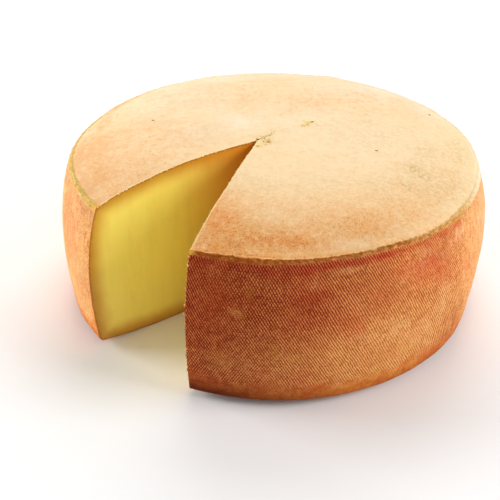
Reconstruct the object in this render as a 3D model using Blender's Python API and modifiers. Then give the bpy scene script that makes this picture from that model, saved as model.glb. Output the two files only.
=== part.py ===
"""A wheel of semi-hard cheese with one wedge cut out of it, as one solid.

Metres, +Z up. The origin is on the wheel's axis, in the flat zone that the wheel rests on.
Azimuths are degrees about the axis, from +X towards +Y.
"""

import math
import random

import bmesh
import bpy

MM = 0.001

# The wheel
WIDEST_RADIUS = 150.0 * MM
RIM_RADIUS = 140.4 * MM  # where the top meets the side
FOOT_RADIUS = 146.9 * MM  # where the side meets the underside
RIM_HEIGHT = 105.3 * MM
CROWN_RISE = 13.9 * MM  # the top's middle, above the rim
CROWN_POWER = 4.0  # flat in the middle, falling near the rim
FOOT_LIFT = 4.6 * MM  # the underside's edge, above the surface it rests on
FOOT_ROUND = 4.0 * MM
RESTING_RADIUS = 92.0 * MM  # the flat zone
WIDEST_AT = 0.42  # share of the side's height
UPPER_POWER = 2.25  # how the side draws in towards the rim
LOWER_POWER = 1.5  # and towards the foot

# The ragged seam that the mould leaves round the rim
SEAM_WIDTH = 2.2 * MM  # on the top
SEAM_DROP = 3.0 * MM  # down the side
SEAM_PROUD = 0.5 * MM
SEAM_GROOVE = 0.3 * MM  # along both edges of the seam
SEAM_RAGGED = 0.35 * MM
SEAM_SEED = 11

# The missing wedge
NOTCH_APEX = (-11.8 * MM, -14.6 * MM)
LEFT_CUT_AZIMUTH = 216.0
RIGHT_CUT_AZIMUTH = 251.2
LEFT_CUT_BOW = -0.9 * MM  # how far each cut face stands into the notch halfway out
RIGHT_CUT_BOW = -2.0 * MM
CUT_POINTS = 9
CUTTER_REACH = 190.0 * MM
CUTTER_BELOW = 15.0 * MM
CUTTER_ABOVE = 150.0 * MM

# The line that the knife scored in the rind beyond the notch's apex: distance from the apex
# along the left cut, offset to its left, and width
SCORE_ROUTE = (
    (-3.0 * MM, 0.0, 1.4 * MM),
    (8.0 * MM, 1.6 * MM, 1.3 * MM),
    (18.0 * MM, 2.6 * MM, 1.1 * MM),
    (32.0 * MM, 1.4 * MM, 0.9 * MM),
    (47.0 * MM, 0.0, 0.5 * MM),
)
SCORE_DEPTH = 3.5 * MM
SCORE_CLEAR = 3.0 * MM  # the blade's height above the rind

# Unevenness
SWELLS = ((2, 0.3 * MM, 75.0), (4, 0.25 * MM, 30.0), (6, 0.2 * MM, 21.0))
RIM_WAVES = ((326.0, -1.8 * MM, 17.0), (292.0, 0.5 * MM, 13.0), (193.0, 0.8 * MM, 16.0),
             (150.0, -1.2 * MM, 20.0), (103.0, -0.5 * MM, 15.0), (70.0, 0.4 * MM, 14.0))
TOP_WAVES = ((83.0 * MM, 20.0, 0.35 * MM), (61.0 * MM, 95.0, 0.25 * MM), (47.0 * MM, 155.0, 0.2 * MM))
SIDE_WAVES = ((5, 0.9, 0.25 * MM), (9, 1.7, 0.2 * MM), (14, 2.6, 0.15 * MM))

STEPS = 108  # facets round the wheel
TOP_RINGS = 12
SIDE_RINGS = 14
FOOT_FACETS = 4
UNDER_RINGS = 5

RIND_COLOUR = (0.62, 0.28, 0.11, 1.0)
PASTE_COLOUR = (0.70, 0.50, 0.12, 1.0)


def smooth(low, high, value):
    """0 below low, 1 above high, and smooth between them."""
    share = min(1.0, max(0.0, (value - low) / (high - low)))
    return share * share * (3.0 - 2.0 * share)


def crown_height(radius):
    share = min(1.0, radius / RIM_RADIUS)
    return RIM_HEIGHT + CROWN_RISE * (1.0 - share ** CROWN_POWER)


def side_radius(share):
    """The side's radius at a share of its height, 0 at the foot and 1 at the rim."""
    if share > WIDEST_AT:
        above = (share - WIDEST_AT) / (1.0 - WIDEST_AT)
        return WIDEST_RADIUS - (WIDEST_RADIUS - RIM_RADIUS) * above ** UPPER_POWER
    below = (WIDEST_AT - share) / WIDEST_AT
    return WIDEST_RADIUS - (WIDEST_RADIUS - FOOT_RADIUS) * below ** LOWER_POWER


def under_height(radius):
    """The underside, which lifts off the surface outside the flat zone."""
    share = max(0.0, radius - RESTING_RADIUS) / (FOOT_RADIUS - RESTING_RADIUS)
    return FOOT_LIFT * share ** 2


def wheel_profile():
    """(radius, height) from the top's middle down the outer side to the underside's middle."""
    points = []
    crown_edge = RIM_RADIUS - SEAM_WIDTH
    for ring in range(TOP_RINGS + 1):
        radius = crown_edge * math.sin(0.5 * math.pi * ring / TOP_RINGS) ** 0.9
        points.append((radius, crown_height(radius)))

    for inward, proud in ((0.85, -SEAM_GROOVE), (0.6, 0.8 * SEAM_PROUD), (0.25, 0.6 * SEAM_PROUD)):
        radius = RIM_RADIUS - inward * SEAM_WIDTH
        points.append((radius, crown_height(radius) + proud))
    side_height = RIM_HEIGHT - FOOT_LIFT
    for down, proud in ((0.12, 0.2 * SEAM_PROUD), (0.4, 0.8 * SEAM_PROUD), (0.65, 0.3 * SEAM_PROUD),
                        (0.82, -SEAM_GROOVE)):
        radius = side_radius(1.0 - down * SEAM_DROP / side_height)
        points.append((radius + proud, RIM_HEIGHT - down * SEAM_DROP))

    seam_foot = 1.0 - SEAM_DROP / side_height
    foot_top = FOOT_ROUND / side_height
    for ring in range(SIDE_RINGS + 1):
        share = seam_foot + (foot_top - seam_foot) * ring / SIDE_RINGS
        points.append((side_radius(share), FOOT_LIFT + share * side_height))

    centre_radius = side_radius(foot_top) - FOOT_ROUND
    under_edge = under_height(centre_radius)
    corner_rise = FOOT_LIFT + FOOT_ROUND - under_edge
    for facet in range(1, FOOT_FACETS + 1):
        angle = 0.5 * math.pi * facet / FOOT_FACETS
        radius = centre_radius + FOOT_ROUND * math.cos(angle)
        points.append((radius, under_edge + corner_rise * (1.0 - math.sin(angle))))

    for ring in range(1, UNDER_RINGS + 1):
        radius = centre_radius + (RESTING_RADIUS - centre_radius) * ring / UNDER_RINGS
        points.append((radius, under_height(radius)))
    points.append((0.0, 0.0))
    return points


def rim_lift(azimuth):
    """How far the rim rises or dips at this azimuth."""
    total = 0.0
    for centre, height, spread in RIM_WAVES:
        away = (azimuth - centre + 180.0) % 360.0 - 180.0
        total += height * math.exp(-((away / spread) ** 2))
    return total


def uneven(x, y, z, ragged):
    """Where a point of the even wheel lies on the real, slightly uneven one."""
    radius = math.hypot(x, y)
    if radius < MM or z < 0.1 * MM:
        return x, y, z
    angle = math.atan2(y, x)
    azimuth = math.degrees(angle)
    on_top = smooth(RIM_HEIGHT - 0.5 * SEAM_DROP, RIM_HEIGHT + SEAM_PROUD, z)
    high = smooth(0.5 * RIM_HEIGHT, RIM_HEIGHT, z) * smooth(0.55 * RIM_RADIUS, RIM_RADIUS, radius)
    low = smooth(0.0, FOOT_LIFT + FOOT_ROUND, z)

    out = 0.0
    for count, height, turn in SWELLS:
        out += height * math.cos(count * math.radians(azimuth - turn)) * radius / WIDEST_RADIUS
    for count, phase, height in SIDE_WAVES:
        out += height * (1.0 - on_top) * low * math.sin(count * angle + phase + z / (40.0 * MM))

    lift = high * rim_lift(azimuth)
    for length, heading, height in TOP_WAVES:
        along = x * math.cos(math.radians(heading)) + y * math.sin(math.radians(heading))
        lift += on_top * height * math.sin(2.0 * math.pi * along / length)

    seam_place = (radius - RIM_RADIUS) / SEAM_WIDTH, (z - RIM_HEIGHT) / SEAM_DROP
    if abs(seam_place[0]) < 0.75 and -0.7 < seam_place[1] < 0.5:
        out += ragged
        lift += 0.5 * ragged
    scale = (radius + out) / radius
    return x * scale, y * scale, z + lift


def make_wheel(collection):
    """The turned profile, made uneven, still without the notch."""
    profile = bpy.data.meshes.new("wheel_profile")
    points = wheel_profile()
    edges = [(i, i + 1) for i in range(len(points) - 1)]
    profile.from_pydata([(radius, 0.0, height) for radius, height in points], edges, [])
    turned = bpy.data.objects.new("wheel_profile", profile)
    collection.objects.link(turned)
    screw = turned.modifiers.new("Turn", "SCREW")
    screw.steps = STEPS
    screw.render_steps = STEPS
    screw.use_merge_vertices = True
    screw.merge_threshold = 0.00005

    bpy.context.view_layer.update()
    graph = bpy.context.evaluated_depsgraph_get()
    mesh = bpy.data.meshes.new_from_object(turned.evaluated_get(graph))
    bpy.data.objects.remove(turned)

    draw = random.Random(SEAM_SEED)
    ragged = [draw.uniform(-1.0, 1.0) * SEAM_RAGGED for _ in range(STEPS)]
    for vertex in mesh.vertices:
        x, y, z = vertex.co
        step = round(math.degrees(math.atan2(y, x)) / 360.0 * STEPS) % STEPS
        vertex.co = uneven(x, y, z, ragged[step])

    shape = bmesh.new()
    shape.from_mesh(mesh)
    bmesh.ops.triangulate(shape, faces=shape.faces)
    shape.to_mesh(mesh)
    shape.free()
    mesh.name = "cheese_wheel"
    wheel = bpy.data.objects.new("cheese_wheel", mesh)
    collection.objects.link(wheel)
    return wheel


def cut_line(azimuth, bow):
    """Points along one cut from the apex out, bowed sideways by bow halfway to the rim."""
    along = math.cos(math.radians(azimuth)), math.sin(math.radians(azimuth))
    aside = -along[1], along[0]
    points = []
    for i in range(1, CUT_POINTS + 1):
        distance = CUTTER_REACH * i / CUT_POINTS
        offset = bow * math.sin(math.pi * min(1.0, distance / RIM_RADIUS))
        points.append((
            NOTCH_APEX[0] + along[0] * distance + aside[0] * offset,
            NOTCH_APEX[1] + along[1] * distance + aside[1] * offset,
        ))
    return points


def make_notch_cutter(collection):
    left = cut_line(LEFT_CUT_AZIMUTH, LEFT_CUT_BOW)
    right = cut_line(RIGHT_CUT_AZIMUTH, -RIGHT_CUT_BOW)
    outline = [NOTCH_APEX] + right + left[::-1]
    shape = bmesh.new()
    corners = [shape.verts.new((x, y, -CUTTER_BELOW)) for x, y in outline]
    base = shape.faces.new(corners)
    raised = bmesh.ops.extrude_face_region(shape, geom=[base])["geom"]
    tops = [item for item in raised if isinstance(item, bmesh.types.BMVert)]
    bmesh.ops.translate(shape, verts=tops, vec=(0.0, 0.0, CUTTER_BELOW + CUTTER_ABOVE))
    bmesh.ops.recalc_face_normals(shape, faces=shape.faces)
    return cutter_from(shape, "notch_cutter", collection)


def make_score_cutter(collection):
    """A thin blade that follows the scored line, its edge down."""
    along = math.radians(LEFT_CUT_AZIMUTH + 180.0)
    shape = bmesh.new()
    sections = []
    for distance, offset, width in SCORE_ROUTE:
        x = NOTCH_APEX[0] + math.cos(along) * distance - math.sin(along) * offset
        y = NOTCH_APEX[1] + math.sin(along) * distance + math.cos(along) * offset
        surface = crown_height(math.hypot(x, y))
        half = 0.5 * width * (SCORE_DEPTH + SCORE_CLEAR) / SCORE_DEPTH
        aside = -math.sin(along) * half, math.cos(along) * half
        depth = SCORE_DEPTH * min(1.0, width / MM)
        sections.append([
            shape.verts.new((x, y, surface - depth)),
            shape.verts.new((x + aside[0], y + aside[1], surface + SCORE_CLEAR)),
            shape.verts.new((x - aside[0], y - aside[1], surface + SCORE_CLEAR)),
        ])
    for first, second in zip(sections, sections[1:]):
        for i in range(3):
            j = (i + 1) % 3
            shape.faces.new((first[i], first[j], second[j], second[i]))
    shape.faces.new(sections[0])
    shape.faces.new(sections[-1])
    bmesh.ops.triangulate(shape, faces=shape.faces)
    bmesh.ops.recalc_face_normals(shape, faces=shape.faces)
    return cutter_from(shape, "score_cutter", collection)


def cutter_from(shape, name, collection):
    mesh = bpy.data.meshes.new(name)
    shape.to_mesh(mesh)
    shape.free()
    cutter = bpy.data.objects.new(name, mesh)
    cutter.hide_render = True
    cutter.display_type = "WIRE"
    collection.objects.link(cutter)
    return cutter


def cut(target, cutter, name):
    boolean = target.modifiers.new(name, "BOOLEAN")
    boolean.operation = "DIFFERENCE"
    boolean.solver = "EXACT"
    boolean.material_mode = "TRANSFER"
    boolean.object = cutter


def make_material(name, colour, roughness):
    material = bpy.data.materials.new(name)
    material.use_nodes = True
    shader = material.node_tree.nodes["Principled BSDF"]
    shader.inputs["Base Color"].default_value = colour
    shader.inputs["Roughness"].default_value = roughness
    shader.inputs["Metallic"].default_value = 0.0
    material.diffuse_color = colour
    return material


def make_collection(name):
    collection = bpy.data.collections.new(name)
    bpy.context.scene.collection.children.link(collection)
    return collection


def main():
    for item in list(bpy.data.objects):
        bpy.data.objects.remove(item, do_unlink=True)
    parts = make_collection("semi_hard_cheese")
    cutters = make_collection("cutters")
    cutters.hide_render = True

    rind = make_material("rind", RIND_COLOUR, 0.75)
    paste = make_material("paste", PASTE_COLOUR, 0.4)
    wheel = make_wheel(parts)
    wheel.data.materials.append(rind)
    notch = make_notch_cutter(cutters)
    notch.data.materials.append(paste)
    score = make_score_cutter(cutters)
    score.data.materials.append(paste)
    cut(wheel, notch, "Notch")
    cut(wheel, score, "Score")
    wheel.data.shade_smooth()
    wheel.data.set_sharp_from_angle(angle=math.radians(40.0))


main()
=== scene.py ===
"""The looks of the cheese wheel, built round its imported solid.

Metres, +Z up, in the solid's frame. Azimuths are degrees about the axis, from +X towards +Y.
The wheel is turned once more from the solid's own sizes, finely enough for the cloth's imprint on
its side, and cut as the solid is.
"""

import math
from functools import reduce

import bmesh
import bpy
import numpy as np
from mathutils import Matrix, Vector
from mathutils.bvhtree import BVHTree
from mathutils.interpolate import poly_3d_calc

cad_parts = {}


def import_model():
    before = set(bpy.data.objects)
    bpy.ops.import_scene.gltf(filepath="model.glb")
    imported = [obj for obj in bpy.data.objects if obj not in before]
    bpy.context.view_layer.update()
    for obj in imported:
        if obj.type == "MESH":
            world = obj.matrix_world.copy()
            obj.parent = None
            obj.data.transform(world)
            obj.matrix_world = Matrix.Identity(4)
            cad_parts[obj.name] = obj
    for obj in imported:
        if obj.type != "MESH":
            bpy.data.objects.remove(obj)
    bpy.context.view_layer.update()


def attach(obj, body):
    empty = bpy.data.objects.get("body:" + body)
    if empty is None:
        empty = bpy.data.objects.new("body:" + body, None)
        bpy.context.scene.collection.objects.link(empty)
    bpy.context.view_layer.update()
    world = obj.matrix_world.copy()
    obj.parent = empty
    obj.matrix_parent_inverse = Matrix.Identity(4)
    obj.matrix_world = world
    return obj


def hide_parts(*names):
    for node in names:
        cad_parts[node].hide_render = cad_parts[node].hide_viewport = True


MM = 0.001
FINE_STEPS = 400  # along a curve that is read between its points

# The wheel, as in the solid
WIDEST_RADIUS = 150 * MM
RIM_RADIUS = 140.4 * MM
FOOT_RADIUS = 146.9 * MM
RIM_HEIGHT = 105.3 * MM
CROWN_RISE = 13.9 * MM
CROWN_POWER = 4
FOOT_LIFT = 4.6 * MM
FOOT_ROUND = 4 * MM
RESTING_RADIUS = 92 * MM
WIDEST_AT = 0.42
UPPER_POWER = 2.25
LOWER_POWER = 1.5
# Swells of the outline: how many round, height in mm, azimuth
SWELLS = ((2, 0.3, 75), (4, 0.25, 30), (6, 0.2, 21))
# Waves of the rim: azimuth, height in mm, half width in degrees
RIM_WAVES = ((326, -1.8, 17), (292, 0.5, 13), (193, 0.8, 16), (150, -1.2, 20), (103, -0.5, 15),
             (70, 0.4, 14))
# Waves of the top: length in mm, azimuth they run towards, height in mm
TOP_WAVES = ((83, 20, 0.35), (61, 95, 0.25), (47, 155, 0.2))
# Waves of the side: how many round, phase, height in mm
SIDE_WAVES = ((5, 0.9, 0.25), (9, 1.7, 0.2), (14, 2.6, 0.15))

# The seam round the rim: (place, how proud) in mm, where places run from -SEAM_WIDTH on the top
# through 0 at the rim to SEAM_DROP down the side. The wheel's other places go on from these
SEAM_WIDTH = 2.2 * MM
SEAM_DROP = 3 * MM
SEAM_PROFILE = ((-2.2, 0), (-1.75, -0.3), (-1.3, 0.35), (-0.7, 0.35), (0, -0.05), (0.5, 0.15),
                (1.2, 0.4), (1.95, 0.15), (2.45, -0.3), (3, 0))
SEAM_LUMPS = ((-2.2, 0), (-1.2, 1), (0, 0.7), (1.6, 1), (3, 0))  # (place in mm, how lumpy)
SEAM_ROWS = 14
SEAM_BEAD = 0.6 * MM  # how far its lumps rise and sink
SEAM_BEAD_SIZE = 2.6  # mm

# The missing wedge and the scored line, as in the solid
NOTCH_APEX = np.array((-11.8 * MM, -14.6 * MM))
LEFT_CUT = (216, -0.9 * MM)  # azimuth, and how far it bows
RIGHT_CUT = (251.2, 2 * MM)
SCORE_AZIMUTH = LEFT_CUT[0] + 180
CUTTER_REACH = 190 * MM
CUTTER_CELL = 2.5 * MM  # facets of the cut faces
CUTTER_HEIGHTS = (-15 * MM, -2 * MM, 124 * MM, 150 * MM)  # finely divided between the middle two
CUT_RIPPLE = 0.18 * MM
ON_RIND = 0.02 * MM  # a cut's point no farther from the rind takes its looks
SHARP_FROM = 50  # degrees between two faces of a cut
# The scored line in mm: how far beyond the apex, how far aside, how wide
SCORE_ROUTE = ((-3, 0, 1.4), (8, 1.6, 1.2), (13, 2.1, 0.7), (17, 2.5, 0.12), (36, 1, 0.08), (42, 0.5, 0.5),
               (47, 0, 0.4))
SCORE_DEPTH = 3.5 * MM
SCORE_CLEAR = 3 * MM
SCORE_STEP = 0.9 * MM

# The cloth's imprint: pits in a triangular lattice, each row half a pitch on from the last
PITS_ROUND = 524  # 1.8 mm apart
ROW_STEP = 1.56 * MM
WEAVE_ROWS = 59
WEAVE_DEPTH = 0.17 * MM  # of a pit below, and of a ridge above, the mean surface
WEAVE_DRIFT = 1.1 * MM  # how far the cloth's threads wander
DRIFT_GROWS = (4 * MM, 14 * MM)  # places down the side between which they come to wander
DRIFT_WANES = (84 * MM, 94 * MM)
SMOOTH_FOOT = 12 * MM  # the band above the foot that the cloth left smooth

# The grid's first column, in the middle of the notch
START_AZIMUTH = 233.6
SEED = 20

# Marks on the side: azimuth, then in mm the height above the foot, half width and half height, and
# last how strong
RUBBED = ((275, 71, 9, 11, 0.3), (260.9, 68, 3.5, 2.6, 0.8), (319, 90, 6, 6, 0.6), (344, 50, 30, 60, 0.9),
          (299, 66, 5, 3, 0.4), (306, 82, 22, 9, 0.5), (313, 75, 12, 9, 0.6), (295, 74, 14, 8, 0.3),
          (205, 60, 30, 60, 0.6), (327, 64, 14, 26, 0.75), (323, 88, 12, 10, 0.7), (334, 35, 14, 30, 0.8),
          (256, 78, 12, 24, 0.42), (294, 50, 38, 50, 0.14), (311, 86, 18, 11, 0.45))
RED = ((260.9, 95, 9, 2, 0.3), (271.5, 92, 8, 4.5, 0.9), (309, 93, 9, 6, 0.6), (317, 92, 10, 7, 0.4),
       (267.7, 94, 8.5, 2.8, 0.9), (275.8, 94, 8.5, 3.4, 1), (282.3, 95.5, 10, 1.8, 0.6),
       (288.3, 96, 10, 1.9, 1), (295.5, 96.6, 11, 1.8, 0.9), (303.5, 96.8, 14, 1.7, 0.7),
       (313.5, 97, 14, 1.7, 0.45), (321, 96, 9, 2, 0.6), (319.1, 88, 2.2, 2.6, 1), (299, 85, 18, 9, 0.5),
       (309, 83, 14, 9, 1), (313, 76, 10, 8, 0.65), (276, 79, 14, 6, 0.6), (288, 79, 8, 5, 0.4),
       (264, 78, 6, 4, 0.4), (295, 72, 14, 8, 0.5), (286.4, 62, 12, 9, 0.4), (277.7, 63.7, 10, 10, 0.35),
       (327, 61.6, 6, 7, 0.5), (321.3, 53.5, 6, 5, 0.5), (278.3, 10.6, 10, 4, 0.5),
       (265.8, 7.6, 6, 3, 0.4), (313.8, 8.6, 10, 3, 0.4), (299, 30, 16, 10, 0.28), (266, 30, 12, 10, 0.2))
SCUFFS = ((260.9, 68, 3.6, 2.7, 1), (254.5, 98, 5, 6, 0.35), (286.5, 92.5, 9, 1.4, 0.9),
          (299.8, 78, 2.2, 1.1, 1), (304.2, 81, 2, 1, 0.7), (317.6, 86, 3, 4, 0.6), (331, 90, 6, 4, 0.7),
          (299.5, 47, 9, 7, 0.6), (309.5, 35, 5, 10, 0.6), (303.9, 33, 8, 9, 0.5), (315, 49, 6, 16, 0.5),
          (290, 47, 5, 5, 0.35), (278.3, 86, 4, 4, 0.35), (266.5, 55, 12, 5, 0.12),
          (257.7, 31, 8, 6, 0.45), (262.7, 30, 6, 5, 0.35), (307.3, 16, 1.4, 1.4, 1),
          (311.5, 19.5, 1.2, 1, 0.9))
OCHRE = ((263.7, 81, 1.8, 4.5, 0.9), (261.9, 67, 2.3, 2.6, 0.5), (269.6, 43, 3, 5, 0.6),
         (257.1, 33, 6, 6, 0.5), (273.9, 39, 4, 4, 0.4), (288.9, 7.6, 8, 3, 0.7), (261.5, 10.6, 5, 3, 0.5),
         (295.1, 12.7, 8, 5, 0.7), (306.4, 12.7, 10, 4, 0.6), (302, 27, 20, 8, 0.55))
CREASED = ((325, 93, 6, 7, 1), (333, 84, 6, 10, 1), (321, 91, 9, 6, 0.8), (329, 88, 9, 9, 0.9),
           (336, 80, 8, 16, 0.9), (342, 60, 8, 25, 0.8), (330, 62, 8, 16, 0.4), (310, 86, 14, 8, 0.35))
DULL = ((274, 76, 34, 9, 1), (312, 88, 18, 14, 1.5))  # where the side is a little darker
# The azimuths over which the placed marks set in and end
MARKS_SET_IN = (248, 256)
MARKS_END = (348, 340)
CHANCE_HELD_BACK = 0.7  # the share of the chance marks that is left out among the placed ones
# Every kind of mark on the side: the placed ones, then the chance ones' strength, the noise values
# between which they appear, their size in mm and their seed
SIDE_MARKS = {
    "rubbed": (RUBBED, 0.45, 0.35, 0.75, 17, 3),
    "red": (RED, 0.5, 0.35, 0.8, 24, 15),
    "scuffs": (SCUFFS, 0.35, 0.45, 0.9, 13, 16),
    "creased": (CREASED, 0.5, 0.45, 0.85, 26, 18),
    "ochre": (OCHRE, 0.5, 0.5, 0.9, 11, 4),
}
# Marks on the top: x, y, half width, half height in mm, how strong. BARE ones lack the front's tan
OLIVE = ((89, -46.5, 7, 5, 0.6), (94, -54, 6, 4, 0.55), (81, -67, 5, 7, 0.65), (12, 32, 4, 7, 0.35),
         (127, -12, 6, 22, 0.35), (100, -20, 14, 8, 0.3), (2, 1, 6, 3, 0.3), (60, 0, 30, 34, 0.15),
         (92, -66, 24, 16, 0.3), (121, -54, 10, 16, 0.3))
BLUSH = ((-33, -112, 11, 12, 0.85), (-5, -127.5, 36, 4.6, 1), (-30, -130, 14, 5, 0.7),
         (61, -112, 20, 7, 0.3), (-40, -97, 11, 14, 0.8), (-131, -20, 6, 35, 0.5),
         (-118, -55, 10, 18, 0.4), (-125, 32, 5, 20, 0.4), (-122, -2, 10, 6, 0.35))
BARE = ((42, -127, 18, 5, 0.9), (72, -112, 14, 6, 0.6), (-50, -122, 8, 6, 0.4), (110, -75, 25, 14, 0.1),
        (-8, -108, 18, 9, 0.5))
PEACH = ((-118, -12, 22, 40, 0.9), (-106, -46, 30, 30, 0.65), (-80, -20, 35, 40, 0.6),
         (52, 54, 46, 24, 0.5), (-30, 66, 50, 24, 0.4), (-115, 38, 14, 16, 0.45), (-94, 78, 14, 14, 0.35))
OILY = ((-6, -16, 4.5, 4, 0.8), (-8, -11.5, 5, 2.5, 0.7), (-11, -22, 2.5, 4, 0.8), (0, -3, 4, 3, 0.5),
        (19.3, 7.3, 2, 1.7, 0.9), (22.5, 9, 3.5, 2.5, 0.9), (23, 14, 4, 2.5, 0.7),
        (29.8, 9, 2.5, 1.5, 0.5))
BLEACH = ((19, 20, 60, 30, 0.5), (75, 85, 45, 30, 1), (-70, 70, 40, 50, 0.7), (60, -10, 50, 35, 0.4),
          (-26, 12, 20, 16, 1), (0, 128, 80, 16, 1), (112, 58, 16, 26, 0.9), (-40, 110, 30, 18, 0.9),
          (-50, -5, 20, 16, 0.6))
TOP_MARKS = {"olive": OLIVE, "blush": BLUSH, "peach": PEACH, "bleach": BLEACH, "oily": OILY}
# How pale the side is, and how pale the seam is, at each azimuth: 0 is dark, and above 1 it is at its
# palest. On the side this is partly painted light: painted shade at the front-left, paler towards the lit
# right, and palest as painted edge light where the side turns away at the left and right
PALENESS = ((0, 0.9), (40, 0.5), (90, 0.4), (150, 0.7), (185, 1.4), (216, 1.55), (251, 0), (267, 0.02),
            (280, 0.18), (305, 0.7), (320, 0.78), (326, 0.9), (333, 1.27), (339, 1.6), (345, 1.8))
SEAM_PALENESS = ((0, 1), (40, 0.9), (130, 1), (145, 1.5), (165, 1.1), (190, 1.3), (205, 1.7), (216, 1.6),
                 (251, 0), (285, 0.15), (303, 0.5), (318, 0.8), (332, 1))
# How far the seam takes on the top's own colour, 0 to 1
SEAM_FADES = ((0, 0.8), (30, 0.5), (80, 0.3), (140, 0), (326, 0), (338, 0.7), (346, 0.9))
# How strongly the seam stands out, as a share
SEAM_SHOWS = ((0, 0.6), (30, 0.35), (150, 0.35), (190, 0.9), (216, 1), (320, 1), (340, 0.8))

# Crumbs by the scored line in mm: how far beyond the apex, how far aside, how far they scatter
# each way, how many, the largest
SCORE_CRUMBS = ((3.5, 1.4, 2.4, 0.8, 20, 3), (4.5, -4.6, 2.4, 1.8, 16, 2), (2.5, -8, 2.2, 1.6, 8, 1.5),
                (9, 1.6, 2.5, 0.8, 12, 1.9), (15, 3, 3.5, 1.2, 9, 1.2), (44.4, 3.4, 1.2, 1.3, 12, 3),
                (45.8, 1.6, 1.3, 0.8, 10, 2.6), (41, -1.6, 2, 1, 16, 2.6), (38, -0.6, 1.2, 0.7, 6, 1.8),
                (47.5, -5.4, 0.8, 0.6, 3, 1.4), (-6, -6.9, 0.9, 0.2, 4, 2))
# The same along each cut's edge: how many, the largest in mm
EDGE_CRUMBS = ((LEFT_CUT, 150, 1.5), (RIGHT_CUT, 50, 1.1))
# Burrs of rind up the corner of the right-hand cut: how many, and at what mm the coarser ones are
CORNER_BURRS = 70
CORNER_HEIGHTS = (102, 99, 97, 72, 66, 40, 33)
ABOVE_WHEEL = 200 * MM  # from where crumbs and specks drop on the top
# Dark specks on the top: x, y, size, mm
SPECKS = ((-85.8, 18, 1.9), (115.7, 48.5, 2), (66.8, -27.2, 2.1), (26.3, 13.8, 1.7), (27.2, 14.2, 1),
          (-12.3, -13.4, 1.5), (-7, -12.8, 1), (-8.1, -17.4, 0.8), (-2.4, -5.8, 0.8), (87.5, -45, 0.7),
          (92, -49, 0.6), (79, -66, 0.6), (46.5, -36.8, 0.5))

CAMERA_PLACE = (-16.2 * MM, -537.6 * MM, 372.3 * MM)
CAMERA_RIGHT = (0.9999, 0.0068, 0.0104)
CAMERA_UP = (-0.0124, 0.5476, 0.8366)
CAMERA_LENS = 61.5
SENSOR = 36

FLOOR_HALF = 3
WORLD_LIGHT = 0.36
# Each lamp's name, place in metres, size in metres and watts, and the height on the axis that they face
LAMPS = (("key", (1.2, -0.33, 0.75), 0.7, 12.5), ("back", (0.1, 1, 1.15), 1.1, 11.5),
         ("left", (-1.25, 0.2, 0.35), 0.6, 15))
LAMPS_FACE = 0.06


def smooth(low, high, value):
    share = np.clip((value - low) / (high - low), 0, 1)
    return share * share * (3 - 2 * share)


def noise(points, size, seed):
    """Smooth random values, mostly within -1 to 1, that change over about this size in mm."""
    count = 32
    table = np.random.default_rng(SEED + seed).uniform(-1, 1, (count, count, count))
    cell = points / (size * MM) + 1000
    base = np.floor(cell).astype(int)
    part = cell - base
    part = part * part * (3 - 2 * part)
    total = np.zeros(len(points))
    for dx in (0, 1):
        for dy in (0, 1):
            for dz in (0, 1):
                step = np.array((dx, dy, dz))
                weight = np.prod(np.where(step == 1, part, 1 - part), axis=1)
                near = (base + step) % count
                total += weight * table[near[:, 0], near[:, 1], near[:, 2]]
    return total


def crown_height(radius):
    share = np.minimum(1, radius / RIM_RADIUS)
    return RIM_HEIGHT + CROWN_RISE * (1 - share ** CROWN_POWER)


def side_radius(share):
    above = np.maximum(0, share - WIDEST_AT) / (1 - WIDEST_AT)
    below = np.maximum(0, WIDEST_AT - share) / WIDEST_AT
    drawn_in = (WIDEST_RADIUS - RIM_RADIUS) * above ** UPPER_POWER
    return WIDEST_RADIUS - drawn_in - (WIDEST_RADIUS - FOOT_RADIUS) * below ** LOWER_POWER


def under_height(radius):
    share = np.maximum(0, radius - RESTING_RADIUS) / (FOOT_RADIUS - RESTING_RADIUS)
    return FOOT_LIFT * share ** 2


def bell(value, centre, width):
    return np.exp(-((value - centre) / width) ** 2)


def turned_from(azimuth, centre):
    """How far round the wheel, -180 to 180 degrees."""
    return (azimuth - centre + 180) % 360 - 180


def towards(azimuth):
    """The unit vector that points this way."""
    angle = math.radians(azimuth)
    return np.array((math.cos(angle), math.sin(angle)))


def crosswise(along):
    return np.array((-along[1], along[0]))


def spun(radius, angle, height):
    """Points, or directions, of the wheel's profile at these angles."""
    return np.stack((radius * np.cos(angle), radius * np.sin(angle), height), axis=1)


def round_wheel(table, azimuth):
    """Values at these azimuths from a table of (azimuth, value)."""
    return np.interp(azimuth % 360, *np.array(table).T, period=360)


def rim_lift(azimuth):
    total = 0
    for centre, height, spread in RIM_WAVES:
        total = total + height * MM * bell(turned_from(azimuth, centre), 0, spread)
    return total


def uneven(points):
    """Where points of the even wheel lie on the slightly uneven one."""
    x, y, z = points.T
    radius = np.maximum(np.hypot(x, y), 0.01 * MM)
    angle = np.arctan2(y, x)
    azimuth = np.degrees(angle)
    on_top = smooth(RIM_HEIGHT - 0.5 * SEAM_DROP, RIM_HEIGHT + 0.5 * MM, z)
    high = smooth(0.5 * RIM_HEIGHT, RIM_HEIGHT, z) * smooth(0.55 * RIM_RADIUS, RIM_RADIUS, radius)
    low = smooth(0, FOOT_LIFT + FOOT_ROUND, z)
    out = 0
    for count, height, turn in SWELLS:
        out = out + height * MM * np.cos(count * np.radians(azimuth - turn)) * radius / WIDEST_RADIUS
    for count, phase, height in SIDE_WAVES:
        out = out + height * MM * (1 - on_top) * low * np.sin(count * angle + phase + z / (40 * MM))
    lift = high * rim_lift(azimuth)
    for length, heading, height in TOP_WAVES:
        way = towards(heading)
        along = x * way[0] + y * way[1]
        lift = lift + on_top * (height * MM) * np.sin(math.tau * along / (length * MM))
    moved = (radius > MM) & (z > 0.1 * MM)
    scale = np.where(moved, (radius + out) / radius, 1)
    return np.stack((x * scale, y * scale, z + np.where(moved, lift, 0)), axis=1)


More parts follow.
